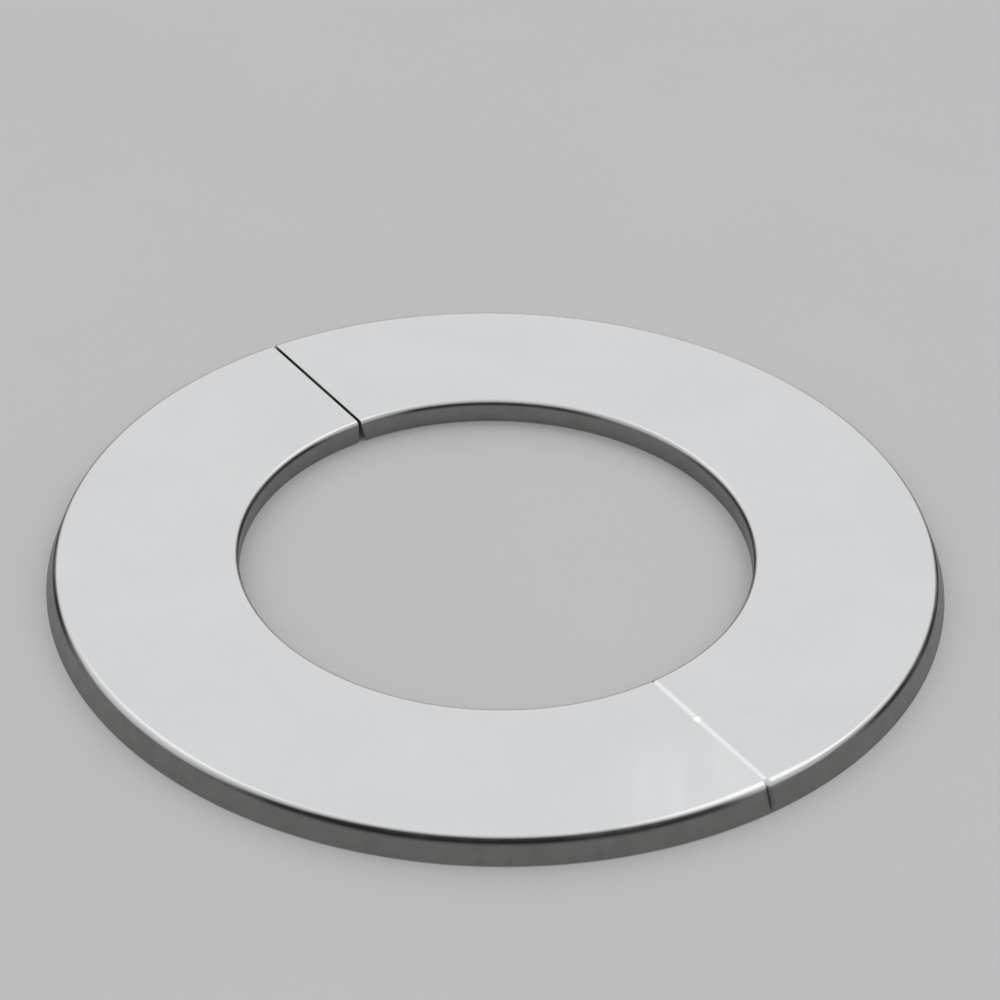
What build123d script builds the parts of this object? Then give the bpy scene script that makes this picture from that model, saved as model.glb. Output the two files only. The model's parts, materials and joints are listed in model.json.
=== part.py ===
# Split pipe cover plate: two pressed half rings that plug together round a standing pipe.
# The wall or floor is the plane z = 0, the pipe stands along Z and the seams lie along X.
import os
from math import cos, radians, tan

from build123d import *

# Pressed half rings
pipe_diameter = 110.0
pipe_clearance = 1.0  # between the pipe and the inner skirt, all round
plate_width = 41.5  # from the pipe hole to the foot of the outer skirt
plate_height = 5.7
sheet = 0.8
bend_radius = 1.3  # outside of each bend
bend_flat = 0.25  # narrow flat inside each bend
skirt_flare = 22.0  # lean of the outer skirt, in degrees from upright

# Seams
open_seam = 0.7  # gap at the -X end
closed_seam = 0.05  # gap at the +X end
seam_round = 0.2  # polished upper edge beside each seam
dressed_width = 1.5  # the right half's upper edge is filed off at the closed seam
dressed_depth = 0.5
tongue_relief = 0.2  # lean of the inner skirt at a half's tongue end, measured at the foot
keeper_relief = 1.2  # lean of the inner skirt at its keeper end, measured at the foot
skirt_corner = 0.7  # rounded foot of the inner skirt's ends

# Tongues and keepers, welded under the top
strip = 0.8
tongue_width = 14.0
tongue_root = 16.0  # length under its own half
tongue_overrun = 5.0  # length past the keeper
tongue_corner = 3.0
tongue_gap = 0.15  # over and under a tongue
side_gap = 0.5  # beside a tongue
joggle_run = 1.5  # length in which a tongue steps down by its gap
keeper_setback = 6.0  # from the seam
keeper_length = 8.0
keeper_foot = 3.5
weld_mark = 2.6  # diameter of the print that a welding electrode leaves
weld_depth = 0.1

# Worked out from the sizes above
hole_radius = pipe_diameter / 2 + pipe_clearance
rim_radius = hole_radius + plate_width
underside = plate_height - sheet
lean = tan(radians(skirt_flare))
rim_land = sheet / cos(radians(skirt_flare))
outer_corner = rim_radius - plate_height * lean
inner_corner = rim_radius - rim_land - underside * lean
middle = (hole_radius + sheet + inner_corner) / 2
skirt_top = plate_height - bend_radius
slot = strip + 2 * tongue_gap
keeper_bend = slot / 4
tongue_reach = keeper_setback + keeper_length + tongue_overrun
seam_gap = {-1: open_seam, 1: closed_seam}

os.makedirs("parts", exist_ok=True)

for side, hand in ((-1, "left"), (1, "right")):
    with BuildPart() as half:
        with BuildSketch(Plane.XZ):
            with BuildLine():
                outside = FilletPolyline(
                    (hole_radius, 0),
                    (hole_radius, plate_height),
                    (outer_corner, plate_height),
                    (rim_radius, 0),
                    radius=bend_radius,
                )
                inside = Polyline(
                    (hole_radius + sheet, 0),
                    (hole_radius + sheet, underside),
                    (inner_corner, underside),
                    (rim_radius - rim_land, 0),
                )
                Line(outside @ 0, inside @ 0)
                Line(outside @ 1, inside @ 1)
            make_face()
            chamfer(inside.vertices().sort_by(Axis.Y)[-2:], length=bend_flat)
        revolve(axis=Axis((0, 0, 0), (0, 0, side)), revolution_arc=180)

        # Each end stands back from the seam by half of its gap
        for end, gap in seam_gap.items():
            with BuildSketch(Plane.XZ.offset(-side * gap / 2)):
                with Locations((end * (hole_radius + rim_radius) / 2, plate_height / 2)):
                    Rectangle(plate_width + 2 * sheet, plate_height + 2 * sheet)
            extrude(amount=side * gap, mode=Mode.SUBTRACT)
        fillet(half.edges().filter_by(Axis.X).group_by(Axis.Z)[-1], radius=seam_round)

        # Below the bend the inner skirt's ends lean away from the seam, down to a round foot
        for end, gap in seam_gap.items():
            relief = tongue_relief if end == side else keeper_relief
            with BuildSketch(Plane.YZ.offset(end * (hole_radius - sheet))):
                with BuildLine():
                    Polyline(
                        (-side * gap, skirt_top),
                        (side * gap / 2, skirt_top),
                        (side * (gap / 2 + relief), 0),
                        (side * (gap / 2 + relief), -sheet),
                        (-side * gap, -sheet),
                        close=True,
                    )
                make_face()
            extrude(amount=end * (middle - hole_radius), mode=Mode.SUBTRACT)
        feet = half.edges().filter_by(Axis.X).group_by(Axis.Z)[0]
        fillet(feet.filter_by(lambda edge: abs(edge.center().X) < middle), radius=skirt_corner)

        if side > 0:
            with BuildSketch(Plane.YZ.offset(hole_radius - sheet)):
                with BuildLine():
                    Polyline(
                        (0, plate_height - dressed_depth),
                        (2 * dressed_width, plate_height + dressed_depth),
                        (0, plate_height + dressed_depth),
                        close=True,
                    )
                make_face()
            extrude(amount=plate_width + 2 * sheet, mode=Mode.SUBTRACT)
    half.part.label = f"{hand}_half"
    export_step(half.part, f"parts/{half.part.label}.step")

    with BuildPart() as tongue:
        own_end = side * seam_gap[side] / 2
        tip = -side * (seam_gap[side] / 2 + tongue_reach)
        with BuildSketch(Plane.YZ.offset(side * middle)):
            with BuildLine():
                Polyline(
                    (own_end + side * tongue_root, underside),
                    (own_end + side * joggle_run, underside),
                    (own_end, underside - tongue_gap),
                    (tip, underside - tongue_gap),
                    (tip, underside - tongue_gap - strip),
                    (own_end, underside - tongue_gap - strip),
                    (own_end + side * joggle_run, underside - strip),
                    (own_end + side * tongue_root, underside - strip),
                    close=True,
                )
            make_face()
        extrude(amount=tongue_width / 2, both=True)
        fillet(tongue.edges().filter_by(Axis.Z), radius=tongue_corner)
        root_middle = (side * middle, own_end + side * (tongue_root + joggle_run) / 2, underside - strip)
        with Locations(Plane(root_middle, x_dir=(1, 0, 0), z_dir=(0, 0, -1))):
            with GridLocations(tongue_width / 2, tongue_root / 2, 2, 2):
                Hole(weld_mark / 2, weld_depth)
    tongue.part.label = f"{hand}_tongue"
    export_step(tongue.part, f"parts/{tongue.part.label}.step")

    with BuildPart() as keeper:
        near_edge = side * (seam_gap[-side] / 2 + keeper_setback)
        leg = tongue_width / 2 + side_gap
        toe = leg + strip + keeper_foot
        hat = Plane((-side * middle, near_edge, underside), x_dir=(1, 0, 0), z_dir=(0, -1, 0))
        with BuildSketch(hat):
            with BuildLine():
                upper = FilletPolyline(
                    (-toe, 0), (-leg, 0), (-leg, -slot), (leg, -slot), (leg, 0), (toe, 0), radius=keeper_bend
                )
                lower = FilletPolyline(
                    (-toe, -strip),
                    (-leg - strip, -strip),
                    (-leg - strip, -slot - strip),
                    (leg + strip, -slot - strip),
                    (leg + strip, -strip),
                    (toe, -strip),
                    radius=keeper_bend,
                )
                Line(upper @ 0, lower @ 0)
                Line(upper @ 1, lower @ 1)
            make_face()
        extrude(amount=-side * keeper_length)
        keeper_middle = (-side * middle, near_edge + side * keeper_length / 2, underside - strip)
        with Locations(Plane(keeper_middle, x_dir=(1, 0, 0), z_dir=(0, 0, -1))):
            with GridLocations(2 * toe - keeper_foot, keeper_length, 2, 1):
                Hole(weld_mark / 2, weld_depth)
    keeper.part.label = f"{hand}_keeper"
    export_step(keeper.part, f"parts/{keeper.part.label}.step")
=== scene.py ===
import json
from math import asin, cos, exp, pi, radians, sin, sqrt, tan

import bpy
from mathutils import Matrix, Vector


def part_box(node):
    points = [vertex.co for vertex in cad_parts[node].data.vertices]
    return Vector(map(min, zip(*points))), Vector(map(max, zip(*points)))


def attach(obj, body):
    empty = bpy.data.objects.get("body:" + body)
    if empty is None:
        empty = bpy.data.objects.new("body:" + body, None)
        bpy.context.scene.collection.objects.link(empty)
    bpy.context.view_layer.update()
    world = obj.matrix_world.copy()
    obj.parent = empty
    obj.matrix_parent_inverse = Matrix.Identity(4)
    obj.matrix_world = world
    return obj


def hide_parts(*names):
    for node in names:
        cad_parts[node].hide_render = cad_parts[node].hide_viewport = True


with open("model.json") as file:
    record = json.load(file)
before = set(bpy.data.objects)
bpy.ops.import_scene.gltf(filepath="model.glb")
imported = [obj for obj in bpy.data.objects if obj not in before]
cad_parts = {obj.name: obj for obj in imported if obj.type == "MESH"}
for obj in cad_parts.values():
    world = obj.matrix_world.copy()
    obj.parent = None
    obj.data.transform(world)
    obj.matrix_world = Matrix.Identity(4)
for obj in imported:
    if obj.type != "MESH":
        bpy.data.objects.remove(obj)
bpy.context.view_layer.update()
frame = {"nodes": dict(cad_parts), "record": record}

mm = 0.001
fileMark = 71.5 * mm   # how far from the pipe's axis the file bit wider into the closed seam


# short cuts for node trees
def newTree(owner):
    owner.use_nodes = True
    owner.node_tree.nodes.clear()
    return owner.node_tree


def newMaterial(name):
    material = bpy.data.materials.new(name)
    tree = newTree(material)
    place = addNode(tree, "TexCoord").outputs["Object"]
    return material, tree, place


def plug(tree, socket, value):
    if isinstance(value, bpy.types.NodeSocket):
        tree.links.new(value, socket)
    else:
        socket.default_value = value


# sockets go by name, with _ for a space, or by number as i0, i1 and so on
def addNode(tree, kind, settings=None, **sockets):
    made = tree.nodes.new("ShaderNode" + kind)
    for name, value in (settings or {}).items():
        setattr(made, name, value)
    for name, value in sockets.items():
        key = int(name[1:]) if name[1:].isdigit() else name.replace("_", " ")
        plug(tree, made.inputs[key], value)
    return made


def addSurface(tree, **sockets):
    shader = addNode(tree, "BsdfPrincipled", None, **sockets)
    addNode(tree, "OutputMaterial", None, Surface=shader.outputs[0])


def addBump(tree, height, depth, strength, **sockets):
    return addNode(tree, "Bump", None, Height=height, Distance=depth, Strength=strength,
                   **sockets).outputs[0]


def maths(tree, operation, first, second=0.0):
    return addNode(tree, "Math", {"operation": operation}, i0=first, i1=second).outputs[0]


def vectorMaths(tree, operation, first, second=(0.0, 0.0, 0.0)):
    made = addNode(tree, "VectorMath", {"operation": operation}, i0=first, i1=second)
    givesNumber = operation in ("DISTANCE", "DOT_PRODUCT", "LENGTH")
    return made.outputs["Value" if givesNumber else "Vector"]


def ramp(tree, value, low, high, atLow=0.0, atHigh=1.0, kind="SMOOTHSTEP"):
    return addNode(tree, "MapRange", {"interpolation_type": kind}, Value=value, From_Min=low, From_Max=high,
                   To_Min=atLow, To_Max=atHigh).outputs[0]


def noise(tree, vector, scale=1.0, detail=3.0, roughness=0.55, distortion=0.0):
    return addNode(tree, "TexNoise", None, Vector=vector, Scale=scale, Detail=detail, Roughness=roughness,
                   Distortion=distortion).outputs["Fac"]


def blendNumbers(tree, share, first, second):
    return addNode(tree, "Mix", None, i0=share, i2=first, i3=second).outputs[0]


def blendColours(tree, share, first, second):
    return addNode(tree, "Mix", {"data_type": "RGBA"}, i0=share, i6=first, i7=second).outputs[2]


def stretched(tree, vector, scale, turn=0.0):
    if turn:
        about = {"rotation_type": "Z_AXIS"}
        vector = addNode(tree, "VectorRotate", about, Vector=vector, Angle=turn).outputs[0]
    return vectorMaths(tree, "MULTIPLY", vector, scale)


# polished top, duller skirts where the sheet was drawn down, their colour painted darker as shade
plateFinish = {
    "polishedColour": (0.655, 0.663, 0.67, 1.0),
    "smudgedColour": (0.635, 0.642, 0.65, 1.0),
    "wipedColour": (0.693, 0.701, 0.708, 1.0),
    # skirt colours, painted darker than the top as shade, with a mottle
    "drawnShadedColour": (0.305, 0.305, 0.3, 1.0),
    "stainedShadedColour": (0.275, 0.27, 0.26, 1.0),
    # painted shade, matte black
    "paintedShadeColour": (0.02, 0.02, 0.02, 1.0),
    # painted glint
    "paintedGlintColour": (0.9, 0.905, 0.91, 1.0),
    # burnished foot, painted lighter as a highlight
    "burnishedGlintColour": (0.62, 0.62, 0.615, 1.0),
    "topRoughness": (0.14, 0.22),         # clean and smudged
    "skirtRoughness": (0.4, 0.52),
    "scratchRoughness": 0.05,             # added along a scratch
    "drawnZone": (4.7 * mm, 5.05 * mm),   # heights between which the drawn skirt gives way to the polish
    # noise patterns: fineness along X, Y and Z, then the turn about Z that goes before it
    "grain": ((70.0, 5200.0, 70.0), radians(4)),
    "scratches": ((45.0, 1500.0, 45.0), radians(63)),
    "strokes": ((190.0, 22.0, 1.0), radians(-55)),
    "streaks": (160.0, 60.0, 1.0),        # round the rim, and down the skirt
    "smudges": (38.0, 4.0, 0.6, 0.4),     # fineness, detail, roughness and distortion of the noise
    "mottle": (240.0, 3.0, 0.6),
    # levels of the noise between which each of these comes in
    "smudgeShows": (0.35, 0.75),
    "smudgeDulls": (0.25, 0.8),
    "smudgeThins": (0.2, 0.6),
    "scratchShows": (0.7, 0.76),
    "strokeShows": (0.35, 0.65),
    "streakDulls": (0.25, 0.75),
    "stainShows": (0.3, 0.75),
    "wiped": (89, -11, 25),               # left half's corner, wiped brighter: place and reach in mm
    "strokeLow": 0.5,                     # share of the wiping between two strokes
    # painted shade: a dark line under each bend, standing for a dark reflection
    "shadeLineFoot": 4.0 * mm,
    "shadeLineMiddle": 4.95 * mm,
    "shadeLineTop": 5.34 * mm,
    "shadeLineShare": 0.95,
    "shadeLineThin": 0.75,                     # share of the painted shade that is left where the smudge noise thins it
    "broadShadeRise": 0.22 * mm,               # broader by this much above and below, near the broad spots
    "broadShadeDrop": 0.28 * mm,
    # spots where the painted line is broader, and where it is left out: place and reach in mm
    "broadShade": [(-60, -76, 70), (60, 76, 70), (80, -55, 60)],
    "shadeGaps": [(11, -95, 40), (96, 11, 26), (-17, 53, 20), (-56, 0, 16)],
    "spotCore": 0.35,                     # share of a spot's reach inside which it is at its full strength
    # painted shade on the outer skirts, beside the closed seam
    "seamShadeReach": (0.16 * mm, 1.6 * mm),
    "seamShadeFoot": (0.4 * mm, 1.6 * mm),
    "seamShadeOut": 90 * mm,
    "seamShadeShare": 0.4,
    "burnishAndGlint": 0.3 * mm,                  # height of the sheared foot, burnished and painted lighter as a highlight
    # painted glint: a bright spot at the file's mark on the closed seam, and its reach
    "paintedGlint": (fileMark, 0.55 * mm, 5.6 * mm),
    "paintedGlintReach": (0.44 * mm, 1.1 * mm),
    "grainDepth": 0.004 * mm,
    "grainStrength": 0.25,
    "grainShare": 0.4,                    # of the belt's hairlines and of the scratches, in that depth
    "scratchShare": 0.5,
    "drawDepth": 0.02 * mm,
    "drawStrength": 0.35,
}


# 0 at a spot, 1 beyond its reach
def clearOf(tree, place, spot, core):
    spotX, spotY, reach = (size * mm for size in spot)
    apart = vectorMaths(tree, "DISTANCE", place, (spotX, spotY, 0.0))
    return ramp(tree, apart, core * reach, reach)


def platePaintedShade(tree, s, place, smudge, drawnAndShaded):
    x, y, z = addNode(tree, "SeparateXYZ", None, Vector=place).outputs

    # painted shade: a dark line under the bends standing for their dark reflection, broader in places and
    # left out in others
    upper, lower = z, z
    for spot in s["broadShade"]:
        broadShade = maths(tree, "SUBTRACT", 1.0, clearOf(tree, place, spot, s["spotCore"]))
        upper = maths(tree, "SUBTRACT", upper, maths(tree, "MULTIPLY", broadShade, s["broadShadeRise"]))
        lower = maths(tree, "ADD", lower, maths(tree, "MULTIPLY", broadShade, s["broadShadeDrop"]))
    line = maths(tree, "MULTIPLY", ramp(tree, upper, s["shadeLineMiddle"], s["shadeLineTop"], 1.0, 0.0),
                 ramp(tree, lower, s["shadeLineFoot"], s["shadeLineMiddle"], 0.0, s["shadeLineShare"]))
    for spot in s["shadeGaps"]:
        line = maths(tree, "MULTIPLY", line, clearOf(tree, place, spot, s["spotCore"]))
    line = maths(tree, "MULTIPLY", line, ramp(tree, smudge, *s["smudgeThins"], s["shadeLineThin"], 1.0))

    # painted shade beside the closed seam, on the skirt only
    beside = ramp(tree, maths(tree, "ABSOLUTE", y), *s["seamShadeReach"], s["seamShadeShare"], 0.0)
    outside = ramp(tree, x, 0.0, s["seamShadeOut"])
    onSkirt = maths(tree, "MULTIPLY", outside, ramp(tree, z, *s["seamShadeFoot"]))
    seam = maths(tree, "MULTIPLY", maths(tree, "MULTIPLY", beside, onSkirt), drawnAndShaded)
    return maths(tree, "MAXIMUM", line, seam)


def makePlateSteel(s):
    material, tree, place = newMaterial("plateSteel")
    x, y, z = addNode(tree, "SeparateXYZ", None, Vector=place).outputs
    drawnAndShaded = ramp(tree, z, *s["drawnZone"], 1.0, 0.0)

    # smudges of handling, hairlines left by the polishing belt, and a few scratches
    smudge = noise(tree, place, *s["smudges"])
    grain = noise(tree, stretched(tree, place, *s["grain"]), detail=2.0)
    scratch = noise(tree, stretched(tree, place, *s["scratches"]), detail=1.0)
    scratch = ramp(tree, scratch, *s["scratchShows"])

    # streaks down the skirts, and a mottle over them
    angle = maths(tree, "ARCTAN2", y, x)
    aroundSkirt = addNode(tree, "CombineXYZ", None, X=angle, Y=z, Z=0.0).outputs[0]
    streak = noise(tree, stretched(tree, aroundSkirt, s["streaks"]))
    mottle = noise(tree, place, *s["mottle"])

    # strokes of the cloth at one corner of the left half
    stroke = noise(tree, stretched(tree, place, *s["strokes"]), detail=2.0)
    stroke = ramp(tree, stroke, *s["strokeShows"], s["strokeLow"], 1.0)
    wiped = ramp(tree, clearOf(tree, place, s["wiped"], s["spotCore"]), 0.0, 1.0, stroke, 0.0, "LINEAR")
    wiped = maths(tree, "MULTIPLY", wiped, maths(tree, "LESS_THAN", y, 0.0))

    smudged = ramp(tree, smudge, *s["smudgeShows"])
    polished = blendColours(tree, smudged, s["polishedColour"], s["smudgedColour"])
    polished = blendColours(tree, wiped, polished, s["wipedColour"])
    # skirts painted darker than the top as shade, with a mottle over them
    dullShadedSkirt = blendColours(tree, ramp(tree, mottle, *s["stainShows"]), s["drawnShadedColour"], s["stainedShadedColour"])
    colour = blendColours(tree, drawnAndShaded, polished, dullShadedSkirt)
    # painted shade: dark lines under the bends and beside the closed seam
    paintedShade = platePaintedShade(tree, s, place, smudge, drawnAndShaded)
    colour = blendColours(tree, paintedShade, colour, s["paintedShadeColour"])
    # sheared foot, burnished and painted lighter as a highlight along the rim
    foot = ramp(tree, z, 0.0, s["burnishAndGlint"], 1.0, 0.0)
    colour = blendColours(tree, foot, colour, s["burnishedGlintColour"])
    # painted glint at the file's mark on the closed seam
    paintedGlint = ramp(tree, vectorMaths(tree, "DISTANCE", place, s["paintedGlint"]), *s["paintedGlintReach"], 1.0, 0.0)
    colour = blendColours(tree, paintedGlint, colour, s["paintedGlintColour"])

    onTop = ramp(tree, smudge, *s["smudgeDulls"], *s["topRoughness"])
    onTop = maths(tree, "ADD", onTop, maths(tree, "MULTIPLY", scratch, s["scratchRoughness"]))
    onSkirt = ramp(tree, streak, *s["streakDulls"], *s["skirtRoughness"])

    fine = maths(tree, "SUBTRACT", maths(tree, "MULTIPLY", grain, s["grainShare"]),
                 maths(tree, "MULTIPLY", scratch, s["scratchShare"]))
    hairlines = addBump(tree, fine, s["grainDepth"], s["grainStrength"])
    coarse = maths(tree, "MULTIPLY", maths(tree, "ADD", streak, mottle), drawnAndShaded)
    relief = addBump(tree, coarse, s["drawDepth"], s["drawStrength"], Normal=hairlines)
    # where shade is painted, the surface is matte, not metal
    addSurface(tree, Base_Color=colour, Metallic=maths(tree, "SUBTRACT", 1.0, paintedShade), Specular_IOR_Level=0.0,
               Roughness=blendNumbers(tree, drawnAndShaded, onTop, onSkirt), Normal=relief)
    return material


plateSteel = makePlateSteel(plateFinish)

# rolled steel that hasn't been polished: what the sheet and the strip have in common
rolledSteel = {
    "patchShows": (0.3, 0.75),   # levels of the noise between which the dull patches come in
    "patchDulls": (0.25, 0.8),
    "rollStrength": 0.3,
}


def rolledLook(tree, s, place):
    patch = noise(tree, place, *s["patches"])
    colour = blendColours(tree, ramp(tree, patch, *s["patchShows"]), s["rolledColour"], s["dullColour"])
    roughness = ramp(tree, patch, *s["patchDulls"], *s["roughness"])
    rolling = noise(tree, stretched(tree, place, s["rolling"]))
    return colour, roughness, addBump(tree, rolling, s["rollDepth"], s["rollStrength"])


# bare sheet on the inside of the pressing and on its cut edges
backFinish = {
    **rolledSteel,
    "rolledColour": (0.49, 0.49, 0.485, 1.0),
    "dullColour": (0.42, 0.42, 0.415, 1.0),
    "roughness": (0.34, 0.48),
    "patches": (120.0, 4.0, 0.6),
    "rolling": (60.0, 2600.0, 2600.0),
    "rollDepth": 0.01 * mm,
}


def makeBackSteel(s):
    material, tree, place = newMaterial("backSteel")
    colour, roughness, normal = rolledLook(tree, s, place)
    addSurface(tree, Base_Color=colour, Metallic=1.0, Roughness=roughness, Normal=normal)
    return material


backSteel = makeBackSteel(backFinish)
print("plate finishes ready")

# plain rolled strip, with the heat tint that each spot weld leaves
stripFinish = {
    **rolledSteel,
    "rolledColour": (0.62, 0.62, 0.615, 1.0),
    "dullColour": (0.53, 0.53, 0.525, 1.0),
    "strawTint": (0.50, 0.40, 0.24, 1.0),
    "blueTint": (0.25, 0.27, 0.36, 1.0),
    # painted shade under the seam
    "paintedShadeColour": (0.06, 0.06, 0.06, 1.0),
    "roughness": (0.31, 0.45),
    "patches": (190.0, 4.0, 0.6),
    "rolling": (2600.0, 60.0, 2600.0),
    "rollDepth": 0.012 * mm,
    # rings of tint: distances from a weld's middle between which each one fades, and its share there
    "straw": (0.91 * mm, 3.1 * mm, 0.85),
    "blue": (0.78 * mm, 1.625 * mm, 0.8),
    "wander": (-0.3 * mm, 0.3 * mm),       # how far the rings stray from a circle
    "wanderNoise": (900.0, 2.0),
    "wanderLevels": (0.2, 0.8),
    "paintedShade": (0.55 * mm, 1.1 * mm, 0.9),    # painted shade under the seam, where the strip lies in the slot's shadow, in the same way
}


def makeStripSteel(s, name, weldMiddle, weldPitch):
    material, tree, place = newMaterial(name)
    colour, roughness, normal = rolledLook(tree, s, place)

    # distance to the nearest weld, folded over into one quarter of the pattern
    offset = vectorMaths(tree, "SUBTRACT", place, (weldMiddle.x, weldMiddle.y, 0.0))
    folded = vectorMaths(tree, "ABSOLUTE", offset)
    toWeld = vectorMaths(tree, "SUBTRACT", folded, (weldPitch[0] / 2, weldPitch[1] / 2, 0.0))
    apart = vectorMaths(tree, "LENGTH", vectorMaths(tree, "MULTIPLY", toWeld, (1.0, 1.0, 0.0)))
    stray = noise(tree, place, *s["wanderNoise"])
    stray = ramp(tree, stray, *s["wanderLevels"], *s["wander"], "LINEAR")
    apart = maths(tree, "ADD", apart, stray)
    acrossSeam = maths(tree, "ABSOLUTE", addNode(tree, "SeparateXYZ", None, Vector=place).outputs["Y"])

    # heat tints round the welds, then painted shade under the seam
    for distance, band, tint in ((apart, "straw", "strawTint"), (apart, "blue", "blueTint"),
                                 (acrossSeam, "paintedShade", "paintedShadeColour")):
        colour = blendColours(tree, ramp(tree, distance, *s[band], 0.0), colour, s[tint])
    addSurface(tree, Base_Color=colour, Metallic=1.0, Roughness=roughness, Normal=normal)
    return material


# half ring: one pressed sheet, carried round from seam to seam
halfRing = {
    "sheet": 0.8 * mm,
    "bendRadius": 1.3 * mm,      # outside of each bend
    "skirtFlare": radians(22),
    "footRound": 0.12 * mm,      # sheared edge at the foot of each skirt
    "openSeam": 0.7 * mm,
    "closedSeam": 0.05 * mm,
    "seamRound": 0.2 * mm,       # polished edges of the ends, apart from those below
    "closedRound": 0.06 * mm,    # left half's edge at the closed seam
    "dressedWidth": 1.5 * mm,    # right half's edge there, filed off
    "dressedDepth": 0.5 * mm,
    "dressedCurve": 1.6,         # power of the filed slope, where 1 is flat
    "markWidth": 0.9 * mm,       # where the file bit wider
    "markGrowth": 0.55,
    "skirtRound": 0.7 * mm,      # outer skirts beside the closed seam
    "tongueRelief": 0.2 * mm,    # lean of the inner skirt at the tongue's end, at the foot
    "keeperRelief": 1.2 * mm,
    "skirtCorner": 0.7 * mm,     # foot of the inner skirt's ends
    "footZone": (0.05, 0.25),    # shares of the height in which the rounding of an end grows from its foot
    "topZone": (0.75, 0.97),     # and in which the skirt's rounding gives way to the top's
    "easedBend": 2.9 * mm,       # outer bend where it opens out
    # where it does so: distance along the rim from the closed seam, reach, share
    "easeSpots": {-1: [(0.0, 34 * mm, 1.0), (142 * mm, 44 * mm, 0.6)], 1: [(0.0, 24 * mm, 1.0)]},
    # shares at which the skirts, from the foot, and the top, from the hole, are divided
    "skirtCuts": [0.02, 0.05, 0.09, 0.14, 0.25, 0.5, 0.75, 0.99],
    "topCuts": [0.002, 0.1, 0.2, 0.3, 0.5, 0.6, 0.7, 0.8, 0.9, 0.998],
    # and finer ones to each side of the file's mark
    "markCuts": [-0.032, -0.024, -0.016, -0.008, 0.0, 0.008, 0.016, 0.024, 0.032],
    "firstCut": 0.0008,          # narrow first and last steps round the ring, beside the ends
    "roundSteps": 200,
    "bendSteps": 14,
    "footSteps": 3,
    "seamSteps": 10,
    "sharpAngle": radians(32),
}

# sizes that come from the solids
holeRadius = frame["record"]["mounts"][0]["dims"]["r_mm"] * mm
rimRadius = abs(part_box("left_half")[0].y)
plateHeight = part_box("left_half")[1].z
plateMiddle = (holeRadius + rimRadius) / 2


def tangentArc(before, corner, after, radius, steps):
    toBefore, toAfter = (before - corner).normalized(), (after - corner).normalized()
    halfAngle = toBefore.angle(toAfter) / 2
    centre = corner + (toBefore + toAfter).normalized() * (radius / sin(halfAngle))
    first = corner + toBefore * (radius / tan(halfAngle)) - centre
    turn = pi - 2 * halfAngle
    if toBefore.cross(toAfter) > 0:
        turn = -turn
    return [centre + Matrix.Rotation(turn * k / steps, 2) @ first for k in range(steps + 1)]


# open line with rounded corners: cuts are the shares at which each straight is divided
def roundedLine(corners, radii, steps, cuts):
    points = [corners[0]]
    for k in range(1, len(corners)):
        if k < len(corners) - 1:
            arc = tangentArc(corners[k - 1], corners[k], corners[k + 1], radii[k - 1], steps[k - 1])
        else:
            arc = [corners[k]]
        last = points[-1]
        points += [last.lerp(arc[0], share) for share in cuts[k - 1]] + arc
    return points


# outer and inner face of the sheet, both from the middle of the inner foot to that of the outer one
def ringSection(s, outerBend):
    sheet, bend, flare, foot = s["sheet"], s["bendRadius"], s["skirtFlare"], s["footRound"]
    underside = plateHeight - sheet
    rimLand = sheet / cos(flare)
    landIn = Vector((holeRadius + sheet / 2, 0.0))
    landOut = Vector((rimRadius - rimLand / 2, 0.0))
    outside = [
        landIn,
        Vector((holeRadius, 0.0)),
        Vector((holeRadius, plateHeight)),
        Vector((rimRadius - plateHeight * tan(flare), plateHeight)),
        Vector((rimRadius, 0.0)),
        landOut,
    ]
    inside = [
        landIn,
        Vector((holeRadius + sheet, 0.0)),
        Vector((holeRadius + sheet, underside)),
        Vector((rimRadius - rimLand - underside * tan(flare), underside)),
        Vector((rimRadius - rimLand, 0.0)),
        landOut,
    ]
    steps = [s["footSteps"], s["bendSteps"], s["bendSteps"], s["footSteps"]]
    markShare = (fileMark - holeRadius - bend) / (outside[3].x - holeRadius - 2 * bend)
    topCuts = sorted(s["topCuts"] + [markShare + cut for cut in s["markCuts"]])
    downCuts = [1 - cut for cut in reversed(s["skirtCuts"])]
    cuts = [[], s["skirtCuts"], topCuts, downCuts, []]
    outer = roundedLine(outside, [foot, bend, outerBend, foot], steps, cuts)
    inner = roundedLine(inside, [foot, bend - sheet, outerBend - sheet, foot], steps, cuts)
    return outer, inner


def outwardNormals(line):
    normals = []
    for k in range(len(line)):
        along = line[min(k + 1, len(line) - 1)] - line[max(k - 1, 0)]
        normals.append(Vector((-along.y, along.x)).normalized())
    return normals


def smooth(value, low, high):
    share = min(max((value - low) / (high - low), 0.0), 1.0)
    return share * share * (3 - 2 * share)


# share of the opened-out bend at a distance along the rim
def bendEase(s, side, along):
    spots = s["easeSpots"][side]
    return max(share * (1 - smooth(abs(along - at), 0.0, reach)) for at, reach, share in spots)


# how far an end stands back from the middle of the seam: the inner skirt leans, with a round foot
def endSetback(s, point, gap, innerRelief):
    if point.x > plateMiddle:
        return gap / 2
    skirtTop = plateHeight - s["bendRadius"]
    corner = s["skirtCorner"]
    setback = gap / 2 + innerRelief * min(max(1 - point.y / skirtTop, 0.0), 1.0)
    belowCorner = corner - max(point.y, 0.0)
    if belowCorner > 0:
        setback += corner - sqrt(max(corner ** 2 - belowCorner ** 2, 0.0))
    return setback


# width and depth of the rounding along an end's outer face
def endRounding(s, point, closed, dressed):
    if dressed:
        upper = Vector((s["dressedWidth"], s["dressedDepth"]))
    else:
        upper = Vector((1, 1)) * (s["closedRound"] if closed else s["seamRound"])
    onSkirt = s["skirtRound"] if closed and point.x > plateMiddle else s["seamRound"]
    lower = Vector((1, 1)) * onSkirt * smooth(point.y / plateHeight, *s["footZone"])
    rounding = lower.lerp(upper, smooth(point.y / plateHeight, *s["topZone"]))
    if dressed:
        rounding.x *= 1 + s["markGrowth"] * exp(-((point.x - fileMark) / s["markWidth"]) ** 2)
    return rounding


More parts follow.
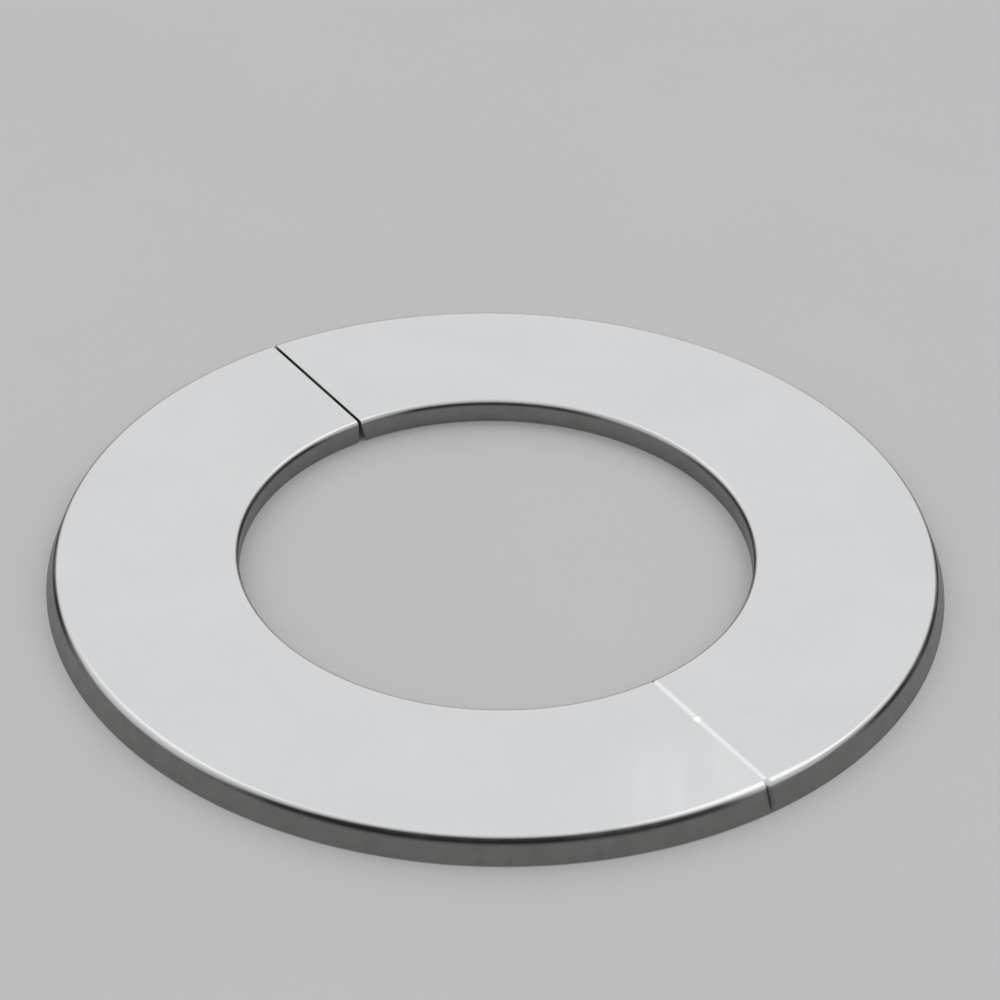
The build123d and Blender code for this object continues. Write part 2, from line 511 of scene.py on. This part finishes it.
# rows of points from an end's own edge to where the plain sheet begins, and the angles reached there
def makeEnd(s, loop, outerCount, side, closed):
    gap = s["closedSeam"] if closed else s["openSeam"]
    ownTongue = closed == (side > 0)
    innerRelief = s["tongueRelief"] if ownTongue else s["keeperRelief"]
    dressed = closed and side > 0
    normals = outwardNormals(loop[:outerCount]) + [Vector((0.0, 0.0))] * (outerCount - 2)
    setbacks = [endSetback(s, point, gap, innerRelief) for point in loop]
    roundings = [endRounding(s, point, closed, dressed) for point in loop]
    rows = []
    for k in range(s["seamSteps"] + 1):
        left = 1 - k / s["seamSteps"]   # share of the rounding still to climb
        turn = left * pi / 2
        row = []
        for point, normal, setback, rounding in zip(loop, normals, setbacks, roundings):
            flat = smooth(point.y / plateHeight, *s["topZone"]) if dressed else 0.0
            drop = flat * left ** s["dressedCurve"] + (1 - flat) * (1 - cos(turn))
            inset = flat * (1 - left) + (1 - flat) * (1 - sin(turn))
            spot = point - normal * (rounding.y * drop)
            offset = setback + rounding.x * inset
            x = sqrt(spot.x * spot.x - offset * offset)
            row.append(Vector((x if closed else -x, offset * side, spot.y)))
        rows.append(row)
    angles = [asin((t + r.x) / p.x) for p, t, r in zip(loop, setbacks, roundings)]
    return rows, angles


# skin between the rows, then a strip of faces over each end
def ringFaces(rowCount, size, outerCount):
    faces = []
    for j in range(rowCount - 1):
        a, b = j * size, (j + 1) * size
        faces += [(a + k, a + (k + 1) % size, b + (k + 1) % size, b + k) for k in range(size)]
    for start, flip in ((0, True), ((rowCount - 1) * size, False)):
        over = [start + k for k in range(outerCount)]
        within = [start] + [start + size - k for k in range(1, outerCount - 1)] + [start + outerCount - 1]
        for k in range(outerCount - 1):
            face = list(dict.fromkeys([over[k], over[k + 1], within[k + 1], within[k]]))
            faces.append(tuple(reversed(face)) if flip else tuple(face))
    return faces


def makeHalf(s, name, side):
    outer, inner = ringSection(s, s["bendRadius"])
    easedOuter, easedInner = ringSection(s, s["easedBend"])
    outerCount = len(outer)
    plain = outer + inner[-2:0:-1]
    eased = easedOuter + easedInner[-2:0:-1]
    closedRows, closedAngles = makeEnd(s, eased, outerCount, side, True)
    openRows, openAngles = makeEnd(s, plain, outerCount, side, False)

    rows = list(closedRows)
    between = [k / s["roundSteps"] for k in range(1, s["roundSteps"])]
    for share in [s["firstCut"]] + between + [1 - s["firstCut"]]:
        row = []
        for tight, opened, near, far in zip(plain, eased, closedAngles, openAngles):
            angle = near + (pi - far - near) * share
            point = tight.lerp(opened, bendEase(s, side, rimRadius * angle))
            row.append(Vector((point.x * cos(angle), point.x * sin(angle) * side, point.y)))
        rows.append(row)
    rows += reversed(openRows)

    size = len(plain)
    faces = ringFaces(len(rows), size, outerCount)
    skin = (len(rows) - 1) * size
    finish = [0 if k < skin and k % size < outerCount - 1 else 1 for k in range(len(faces))]
    if side > 0:
        faces = [tuple(reversed(face)) for face in faces]

    mesh = bpy.data.meshes.new(name)
    mesh.from_pydata([point for row in rows for point in row], [], faces)
    mesh.polygons.foreach_set("material_index", finish)
    mesh.validate()
    mesh.shade_smooth()
    mesh.set_sharp_from_angle(angle=s["sharpAngle"])
    mesh.materials.append(plateSteel)
    mesh.materials.append(backSteel)   # finish 1: inside of the sheet and cut ends
    piece = bpy.data.objects.new(name, mesh)
    bpy.context.scene.collection.objects.link(piece)
    return piece


for hand, side in (("left", -1), ("right", 1)):
    half = makeHalf(halfRing, hand + "HalfRing", side)
    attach(half, hand)
    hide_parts(hand + "_half")
    print(hand, "half ring:", len(half.data.vertices), "points")

# tongues and keepers keep their solids and take the strip finish
joint = {
    "tongueWidth": 14.0 * mm,
    "tongueRoot": 16.0 * mm,
    "joggleRun": 1.5 * mm,
    "keeperFoot": 3.5 * mm,
}


# middle and pitch of the four weld prints in a tongue's root
def tongueWelds(s, hand, side):
    low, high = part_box(hand + "_tongue")
    rootEnd = low.y if side < 0 else high.y
    toMiddle = (s["tongueRoot"] - s["joggleRun"]) / 2
    middle = Vector(((low.x + high.x) / 2, rootEnd - side * toMiddle, 0.0))
    return middle, (s["tongueWidth"] / 2, s["tongueRoot"] / 2)


# and of the two in a keeper's feet
def keeperWelds(s, hand, side):
    low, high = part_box(hand + "_keeper")
    return (low + high) / 2, (high.x - low.x - s["keeperFoot"], 0.0)


for hand, side in (("left", -1), ("right", 1)):
    for word, welds in (("Tongue", tongueWelds), ("Keeper", keeperWelds)):
        weldMiddle, weldPitch = welds(joint, hand, side)
        node = frame["nodes"][f"{hand}_{word.lower()}"]
        node.data.materials.clear()
        node.data.materials.append(makeStripSteel(stripFinish, f"{hand}{word}Steel", weldMiddle, weldPitch))
    print(hand, "tongue and keeper finished")

# pale floor
floorStyle = {
    "size": 6.0,
    "colour": (0.66, 0.66, 0.66, 1.0),
    "worn": (0.64, 0.64, 0.64, 1.0),
    "patches": (9.0, 4.0, 0.6),
    "patchShows": (0.3, 0.7),
    "roughness": 0.8,
}


def makeFloor(s):
    reach = s["size"] / 2
    corners = [(-reach, -reach, 0), (reach, -reach, 0), (reach, reach, 0), (-reach, reach, 0)]
    mesh = bpy.data.meshes.new("floor")
    mesh.from_pydata(corners, [], [(0, 1, 2, 3)])
    material, tree, place = newMaterial("paleFloor")
    patch = noise(tree, place, *s["patches"])
    colour = blendColours(tree, ramp(tree, patch, *s["patchShows"]), s["colour"], s["worn"])
    addSurface(tree, Base_Color=colour, Roughness=s["roughness"])
    mesh.materials.append(material)
    floor = bpy.data.objects.new("floor", mesh)
    bpy.context.scene.collection.objects.link(floor)


makeFloor(floorStyle)

# camera at the photograph's angle
shot = {
    "lens": 108.0,
    "sensor": 36.0,
    "azimuth": radians(-34.6),
    "elevation": radians(36.64),
    "distance": 0.65572,
    "aimBeyond": 0.02425,   # the aim lies this far behind the pipe's axis, and this far to its right
    "aimRight": 0.00062,
    "roll": radians(1.133),
}


def direction(azimuth, elevation):
    return Vector((cos(azimuth) * cos(elevation), sin(azimuth) * cos(elevation), sin(elevation)))


def makeCamera(s):
    data = bpy.data.cameras.new("camera")
    data.lens = s["lens"]
    data.sensor_width = s["sensor"]
    camera = bpy.data.objects.new("camera", data)
    camera.location = s["distance"] * direction(s["azimuth"], s["elevation"])
    away = -direction(s["azimuth"], 0.0)
    right = Vector((away.y, -away.x, 0.0))
    aim = away * s["aimBeyond"] + right * s["aimRight"] - camera.location
    level = aim.to_track_quat("-Z", "Y")
    camera.rotation_mode = "QUATERNION"
    camera.rotation_quaternion = level @ Matrix.Rotation(s["roll"], 3, "Z").to_quaternion()
    bpy.context.scene.collection.objects.link(camera)
    bpy.context.scene.camera = camera


makeCamera(shot)
print("floor and camera in place")

# soft studio: one very large soft box over the far side, which fades out towards the camera
studio = {
    "boxUp": radians(50),
    "boxEdge": radians(26),          # angles from the middle of the box
    "sideEdge": radians(72),
    "frontEdge": radians(114),
    "boxLight": 1.0,
    "sideLight": 0.56,
    "frontLight": 0.48,
    # smaller boxes: degrees to the right of the camera, degrees up, inner and outer radius, light
    "boxes": [(-146, 53, 5, 16, 1.3), (128, 56, 8, 20, 1.45)],
    "horizonZone": (-0.02, 0.36),    # sines of the heights between which the dark horizon ends
    "horizonShare": 0.06,
    "underZone": (-0.12, -0.04),     # and between which the light from below does
    "underLight": 0.4,
}


def makeStudio(s, facing):
    world = bpy.data.worlds.new("studio")
    bpy.context.scene.world = world
    tree = newTree(world)
    ray = addNode(tree, "TexCoord").outputs["Generated"]
    rise = addNode(tree, "SeparateXYZ", None, Vector=ray).outputs["Z"]

    def nearness(azimuth, elevation):
        return vectorMaths(tree, "DOT_PRODUCT", ray, direction(azimuth, elevation))

    toBox = nearness(facing + pi, s["boxUp"])
    front, side, box = cos(s["frontEdge"]), cos(s["sideEdge"]), cos(s["boxEdge"])
    wide = ramp(tree, toBox, front, side, s["frontLight"], s["sideLight"], "LINEAR")
    near = ramp(tree, toBox, side, box, 0.0, s["boxLight"] - s["sideLight"], "LINEAR")
    light = maths(tree, "ADD", wide, near)
    for right, up, inner, outer, strength in s["boxes"]:
        toSmall = nearness(facing + radians(right), radians(up))
        share = ramp(tree, toSmall, cos(radians(outer)), cos(radians(inner)))
        light = blendNumbers(tree, share, light, strength)
    horizon = ramp(tree, rise, *s["horizonZone"], s["horizonShare"], 1.0)
    below = ramp(tree, rise, *s["underZone"], 1.0, 0.0)
    light = blendNumbers(tree, below, maths(tree, "MULTIPLY", light, horizon), s["underLight"])
    back = addNode(tree, "Background", None, Color=(1.0, 1.0, 1.0, 1.0), Strength=light)
    addNode(tree, "OutputWorld", None, Surface=back.outputs[0])


makeStudio(studio, shot["azimuth"])
bpy.context.scene.view_settings.view_transform = "Standard"
print("studio lit")
